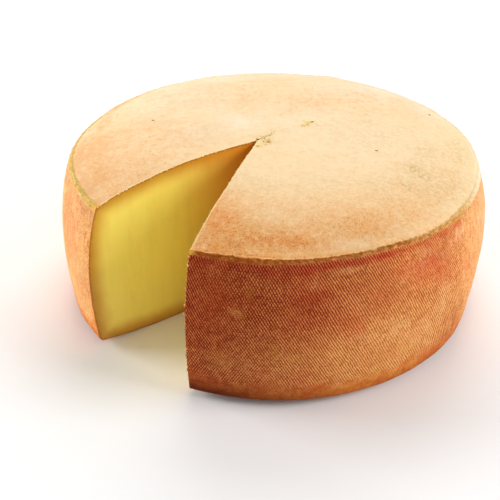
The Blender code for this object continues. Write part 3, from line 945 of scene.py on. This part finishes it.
def make_rind_material():
    looks = Looks("rind_looks")
    mix, tint, spread, swing = looks.mix, looks.tint, looks.spread, looks.swing
    add, times, clouds, attribute = looks.add, looks.times, looks.noise, looks.attribute
    names = ("place", "around", "weave_row", "weave", "lean", "pale", "seam_pale", "tan", "peach")
    place, around, row, weave, lean, pale, seam_pale, tan, peach = map(attribute, names)

    # the imprint: two crossing waves, -1 in a pit's middle and 1 on a ridge
    wander = swing(clouds(4.5, 2), 0.14)
    slip = swing(clouds(3, 2), 0.10)
    across, down = add(around, wander), add(row, slip)
    falling = looks.maths("COSINE", times(looks.maths("SUBTRACT", across, down), math.tau))
    rising = looks.maths("COSINE", times(add(across, down), math.tau))
    share = spread(lean, -1, 1, 0, 1, smooth=False)
    crossing = add(times(falling, share), times(rising, looks.maths("SUBTRACT", 1, share)))
    pattern = times(crossing, -1)

    coarse = clouds(30, 3)
    middle = clouds(9, 3)
    fine = clouds(2.2, 3, 0.6)
    grain = clouds(0.8, 2, 0.6)
    patchy = clouds(5, 3, 0.65)
    broken = clouds(1.7, 3, 0.65)
    fibres = clouds(2.8, 2, 0.6, stretch=(0.8, 0.9, 1))
    blotches = clouds(4.2, 3, 0.6, stretch=(1, 0.75, 1))
    upright = looks.vector(times(around, 1.8 * MM), times(place, 0.12 * MM), 0)
    streaks = clouds(2.4, 2, at=upright)

    # the side
    broken_up = times(swing(broken, 1), spread(pale, 0.4, 0.9), spread(pale, 1.15, 1.45, 1, 0.2),
                      spread(place, 40, 65, 1, 0.2))
    rise = add(swing(fine, 0.35), swing(grain, 0.3), swing(patchy, 0.28), broken_up)
    # the pits are painted darker and the ridges paler: partly the rind's own colour, partly painted shade
    # in the pits and painted highlights on the ridges
    level = spread(add(pattern, rise, times(pale, 0.5)), -0.2, 0.9)
    paleness = spread(pale, 0, 1, smooth=False)
    side = mix(paleness, mix(level, *DARK_WEAVE_TONES), mix(level, *PALE_WEAVE_TONES))
    worn = spread(add(fine, grain), 0.8, 1.2)
    rubbed = mix(paleness, mix(worn, *DARK_WORN_TONES), mix(worn, *PALE_WORN_TONES))
    side = mix(weave, rubbed, side)
    # painted edge light: the side's palest colour, where it turns away at the left and right
    side = mix(spread(pale, 1.2, 1.8, 0, 0.8), side, SIDE_EDGE_LIGHT)
    scuffs = times(attribute("scuffs"), spread(add(fine, grain), 0.85, 1.1, 0.15, 0.9))
    side = mix(scuffs, side, mix(pale, SCUFF_DARK, SCUFF_PALE))
    ochre = times(attribute("ochre"), spread(fine, 0.3, 0.6, 0.3, 0.7))
    ochre_tone = mix(pale, *OCHRE_TONES)
    side = mix(ochre, side, ochre_tone)
    side = tint(spread(patchy, 0.35, 0.5, 0.35, 0), side, HOLLOW_TINT)
    red = times(attribute("red"), spread(patchy, 0.35, 0.55, 0.35, 1))
    side = tint(red, side, mix(pale, *RED_TONES))
    side = tint(spread(coarse, 0.5, 0.68, 0, 0.35), side, RED_TINT)
    band = times(spread(place, 2, 3.5), spread(place, 4.5, 8.5, 1, 0))
    band = times(band, spread(middle, 0.3, 0.6, 0.35, 1), spread(pale, 0.55, 0.9, 1, 0.3))
    side = tint(band, side, BAND_TINT)
    streaked = times(spread(streaks, 0.48, 0.62), spread(pale, 0.75, 1), 0.35)
    side = mix(streaked, side, SCUFF_PALE)
    side = tint(spread(grain, 0.35, 0.6, 0.45, 0), side, GRAIN_TINT)
    folds = looks.vector(times(around, 1.5 * MM), times(place, 0.4 * MM), 0)
    folds = clouds(3, 3, 0.6, at=folds)
    creased = attribute("creased")
    side = mix(times(creased, spread(folds, 0.48, 0.60, 0, 0.72)), side, CREASE_PALE)
    side = mix(times(creased, spread(folds, 0.36, 0.47, 0.8, 0)), side, CREASE_RED)
    foot = mix(pale, *FOOT_TONES)
    foot = mix(spread(patchy, 0.55, 0.7, 0, 0.6), foot, ochre_tone)
    foot = tint(spread(patchy, 0.3, 0.48, 0.7, 0), foot, FOOT_PATCHES)
    foot = tint(spread(middle, 0.45, 0.6, 0, 0.5), foot, RED_TINT)
    foot = tint(spread(fine, 0.4, 0.55, 0.6, 0), foot, FOOT_GRAIN)
    low = add(place, swing(middle, 4))
    side = mix(spread(low, 84, 96, 0, 0.82), side, foot)
    side = tint(times(red, spread(place, 84, 90)), side, RED_TINT)
    # painted shade: the side darkens towards its foot, where it rounds under
    side = tint(spread(place, 92, 100.5), side, mix(pale, *FOOT_SHADE_TONES))

    # the top
    ragged = add(tan, times(tan, swing(middle, 0.22)), swing(fibres, 0.1))
    cream = mix(times(attribute("bleach"), 0.9), TOP_CREAM, TOP_BLEACH)
    cream = mix(times(peach, spread(middle, 0.35, 0.65, 0.3, 1)), cream, TOP_PEACH)
    # the tan is partly painted shade on the front of the top
    top = mix(spread(ragged, 0, 1, smooth=False), cream, TOP_TAN)
    blush = times(attribute("blush"), spread(blotches, 0.35, 0.6, 0.2, 1))
    top = mix(times(blush, 0.8), top, TOP_BLUSH)
    top = mix(spread(middle, 0.5, 0.7, 0, 0.3), top, TOP_PEACH)
    top = mix(times(peach, spread(blotches, 0.5, 0.65, 0, 0.7)), top, TOP_EMBER)
    top = mix(times(peach, spread(coarse, 0.44, 0.58, 0, 0.4)), top, TOP_EMBER)
    clear = looks.maths("SUBTRACT", 1, peach)
    olive = add(times(spread(coarse, 0.45, 0.65, 0, 0.15), clear), attribute("olive"))
    top = mix(times(olive, spread(fine, 0.38, 0.58, 0.1, 1)), top, TOP_OLIVE)
    top = mix(times(spread(blotches, 0.5, 0.7, 0, 0.12), clear), top, TOP_OLIVE)
    top = mix(spread(blotches, 0.3, 0.45, 0.35, 0), top, cream)
    top = tint(spread(fibres, 0.35, 0.7, 0, spread(tan, 0, 1, 0.18, 0.4)), top, TOP_FIBRES)
    speckled = add(times(tan, 0.88), 0.12)
    top = tint(times(spread(grain, 0.5, 0.68), speckled), top, TOP_SPECKLE)
    top = tint(times(spread(fine, 0.5, 0.75), speckled), top, TOP_GRAIN)
    # painted light: the top's outer band at the front is brightened against the shade that the crown's
    # steep edge takes there
    top = tint(times(spread(place, -7, -3), tan), top, TOP_RIM_LIGHT)
    left_ring = times(spread(place, -11, -5), spread(seam_pale, 1.1, 1.4),
                      spread(middle, 0.35, 0.6, 0.35, 0.9))
    top = mix(left_ring, top, TOP_RING)
    oily = times(attribute("oily"), spread(fine, 0.35, 0.6, 0.2, 1))
    top = mix(oily, top, TOP_OILY)
    lip = add(attribute("edge"), swing(fine, 0.4))
    top = mix(spread(lip, 0.2, 1.4, 0.75, 0), top, TOP_LIP)

    # the seam
    threads = looks.vector(times(around, 0.75 * MM), times(place, MM), 0)
    beads = clouds(1.5, 2, 0.55, at=threads)
    frayed = add(place, swing(fine, 0.6), swing(coarse, 0.5))
    rope = spread(seam_pale, 1.15, 1.5)
    seam = mix(seam_pale, *SEAM_TONES)
    seam = mix(rope, seam, SEAM_YELLOW)
    crease = times(spread(frayed, -0.9, -0.2), spread(frayed, 0.7, 1.7, 1, 0))
    crease = times(crease, spread(middle, 0.35, 0.6, 1, 0.55),
                   add(spread(seam_pale, 0.7, 1, 1, 0.1), times(rope, 0.5)))
    seam = mix(crease, seam, mix(seam_pale, *LINE_TONES))
    outer = times(spread(frayed, -0.2, 0.6), spread(seam_pale, 0.25, 0.45),
                  spread(seam_pale, 0.8, 1.15, 1, 0))
    seam = tint(outer, seam, SEAM_OUTER)
    # the seam's beads are painted paler and the gaps between them darker: partly the seam's mottled colour,
    # partly painted light on the beads and painted shade in the gaps
    gaps = times(spread(beads, 0.36, 0.56, 0.6, 0), spread(seam_pale, 0.4, 0.8, 1, 0.55))
    seam = tint(gaps, seam, BEAD_GAPS)
    bead_tone = mix(seam_pale, *BEAD_TONES)
    seam = mix(spread(beads, 0.5, 0.68, 0, 0.55), seam, bead_tone)
    lumpy = times(spread(seam_pale, 0.05, 0.25, 0.25, 1), spread(seam_pale, 0.4, 0.75, 1, 0.25))
    seam = tint(times(lumpy, spread(patchy, 0.36, 0.5, 0.6, 0)), seam, LUMP_GAPS)
    seam = mix(times(lumpy, spread(patchy, 0.5, 0.64, 0, 0.5)), seam, bead_tone)
    below = times(spread(frayed, 1.9, 2.6), rope, 0.7)
    seam = mix(below, seam, ROPE_SHADE)
    seam = tint(spread(grain, 0.4, 0.6, 0, 0.35), seam, SEAM_GRAIN)
    seam = mix(attribute("seam_fades"), seam, mix(spread(beads, 0.4, 0.6), TOP_CREAM, TOP_BLEACH))
    corner = times(spread(attribute("edge"), 1.5, 5, 0.9, 0), spread(fine, 0.35, 0.6, 0.6, 1))
    seam = mix(corner, seam, SEAM_CORNER)
    inner = add(frayed, spread(seam_pale, 0.6, 1, 0, 1.8))
    colour = mix(spread(inner, -1.5, -0.5), top, seam)
    torn = add(frayed, spread(patchy, 0.3, 0.7, -0.6, 0.9, smooth=False))
    colour = mix(spread(torn, 1.8, 3), colour, side)
    under = spread(place, 104, 112)
    colour = mix(under, colour, UNDER_TAN)

    normal = looks.bump(add(times(fine, 0.7), times(grain, 0.3)), 0.25 * MM)
    normal = looks.bump(times(pattern, weave, 0.5), 2 * WEAVE_DEPTH, Normal=normal)
    looks.surface(Base_Color=colour, Normal=normal)
    looks.surface(Roughness=spread(fine, 0.3, 0.7, 0.5, 0.65))
    looks.surface(Specular_IOR_Level=0.05)
    return looks.material


def make_paste_material():
    looks = Looks("paste_looks")
    mix, spread, clouds = looks.mix, looks.spread, looks.noise
    depth = looks.attribute("depth")
    cloudy = clouds(18, 2)
    fine = clouds(2.5, 3)
    streaks = clouds(6, 2, stretch=(1, 1, 0.15))
    wander = looks.add(depth, looks.swing(cloudy, 1))
    colour = mix(spread(wander, -0.5, 14), PASTE_OCHRE, PASTE_PALE)
    # painted shade: the paste turns darker amber towards the notch's apex, where light reaches least
    colour = mix(spread(looks.attribute("inward"), 0, 75, 0.85, 0), colour, PASTE_APEX_SHADE)
    colour = mix(spread(streaks, 0.4, 0.7, 0, 0.07), colour, PASTE_OCHRE)
    crust = looks.add(depth, looks.swing(fine, 0.4))
    colour = mix(spread(crust, 0.5, 1.8, 1, 0), colour, PASTE_RIND)
    normal = looks.bump(looks.add(looks.times(fine, 0.5), looks.times(streaks, 0.5)), 0.2 * MM)
    looks.surface(Base_Color=colour, Normal=normal)
    looks.surface(Roughness=spread(fine, 0.3, 0.7, 0.34, 0.46))
    looks.surface(Specular_IOR_Level=0.45, Subsurface_Weight=0.35, Subsurface_Scale=4 * MM)
    looks.surface(Subsurface_Radius=(1, 0.55, 0.15))
    return looks.material


def make_crumb_material(name, light, dark):
    looks = Looks(name)
    fine = looks.noise(0.9, 2)
    blotches = looks.noise(3, 2)
    colour = looks.mix(looks.spread(blotches, 0.4, 0.6), light, dark)
    colour = looks.tint(looks.spread(fine, 0.45, 0.7, 0, 0.7), colour, CRUMB_GRAIN)
    looks.surface(Base_Color=colour, Normal=looks.bump(fine, 0.15 * MM))
    looks.surface(Roughness=looks.spread(fine, 0.3, 0.7, 0.45, 0.65))
    looks.surface(Specular_IOR_Level=0.3)
    return looks.material


def make_speck_material():
    looks = Looks("speck_looks")
    fine = looks.noise(0.7, 2)
    colour = looks.mix(looks.spread(fine, 0.35, 0.65), *SPECK_TONES)
    looks.surface(Base_Color=colour, Normal=looks.bump(fine, 0.1 * MM))
    looks.surface(Roughness=looks.spread(fine, 0.3, 0.7, 0.6, 0.8))
    return looks.material


def make_floor():
    looks = Looks("floor_looks")
    looks.surface(Base_Color=FLOOR_WHITE, Roughness=0.9)
    corners = [(x * FLOOR_HALF, y * FLOOR_HALF, 0) for x, y in ((-1, -1), (1, -1), (1, 1), (-1, 1))]
    floor = mesh_object("floor", corners, [(0, 1, 2, 3)], looks.material)


def add_light(name, place, size, power):
    """A soft square lamp that faces the wheel's middle."""
    lamp = bpy.data.lights.new(name, "AREA")
    lamp.size = size
    lamp.energy = power
    item = put_in_scene(name, lamp)
    item.location = place
    aim = Vector((0, 0, LAMPS_FACE)) - Vector(place)
    item.rotation_euler = aim.to_track_quat("-Z", "Y").to_euler()


def add_camera():
    right, up = Vector(CAMERA_RIGHT).normalized(), Vector(CAMERA_UP).normalized()
    back = right.cross(up)
    camera = bpy.data.cameras.new("camera")
    camera.lens = CAMERA_LENS
    camera.sensor_width = SENSOR
    item = put_in_scene("camera", camera)
    turned = Matrix((right, up, back)).transposed().to_4x4()
    item.matrix_world = Matrix.Translation(CAMERA_PLACE) @ turned
    bpy.context.scene.camera = item


def add_world():
    world = bpy.data.worlds.new("world")
    world.use_nodes = True
    background = world.node_tree.nodes["Background"]
    background.inputs["Color"].default_value = (1, 1, 1, 1)
    background.inputs["Strength"].default_value = WORLD_LIGHT
    bpy.context.scene.world = world


def main():
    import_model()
    rind = make_rind_material()
    paste = make_paste_material()

    points, faces, looks = make_rind()
    wheel = mesh_object("wheel", points, faces, rind)
    outward_faces(wheel)
    put_looks(wheel.data, looks)
    put_looks(wheel.data, {"kept": np.ones(len(points))})
    notch = make_notch_cutter(paste)
    score = make_score_cutter(paste)
    outward_faces(notch)
    outward_faces(score)
    cut_away(wheel, (notch, score))
    finish_cut(wheel, (points, faces), looks)
    mark_sharp(wheel.data)
    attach(wheel, "root")
    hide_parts("cheese_wheel")

    tree = BVHTree.FromObject(wheel, bpy.context.evaluated_depsgraph_get())
    draw = np.random.default_rng(SEED + 60)
    material = make_crumb_material("crumb_looks", *CRUMB_TONES)
    crumbs = make_lumps("crumbs", crumb_places(tree, draw), material, draw)
    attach(crumbs, "root")
    material = make_crumb_material("burr_looks", *BURR_TONES)
    burrs = make_lumps("burrs", burr_places(draw), material, draw)
    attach(burrs, "root")
    specks = []
    for x, y, size in np.array(SPECKS) * MM:
        specks.append(((x, y, drop_on(tree, x, y) or RIM_HEIGHT), size))
    specks = make_lumps("specks", specks, make_speck_material(), draw)
    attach(specks, "root")

    make_floor()
    add_world()
    for lamp in LAMPS:
        add_light(*lamp)
    add_camera()
    bpy.context.scene.view_settings.view_transform = "Standard"


main()
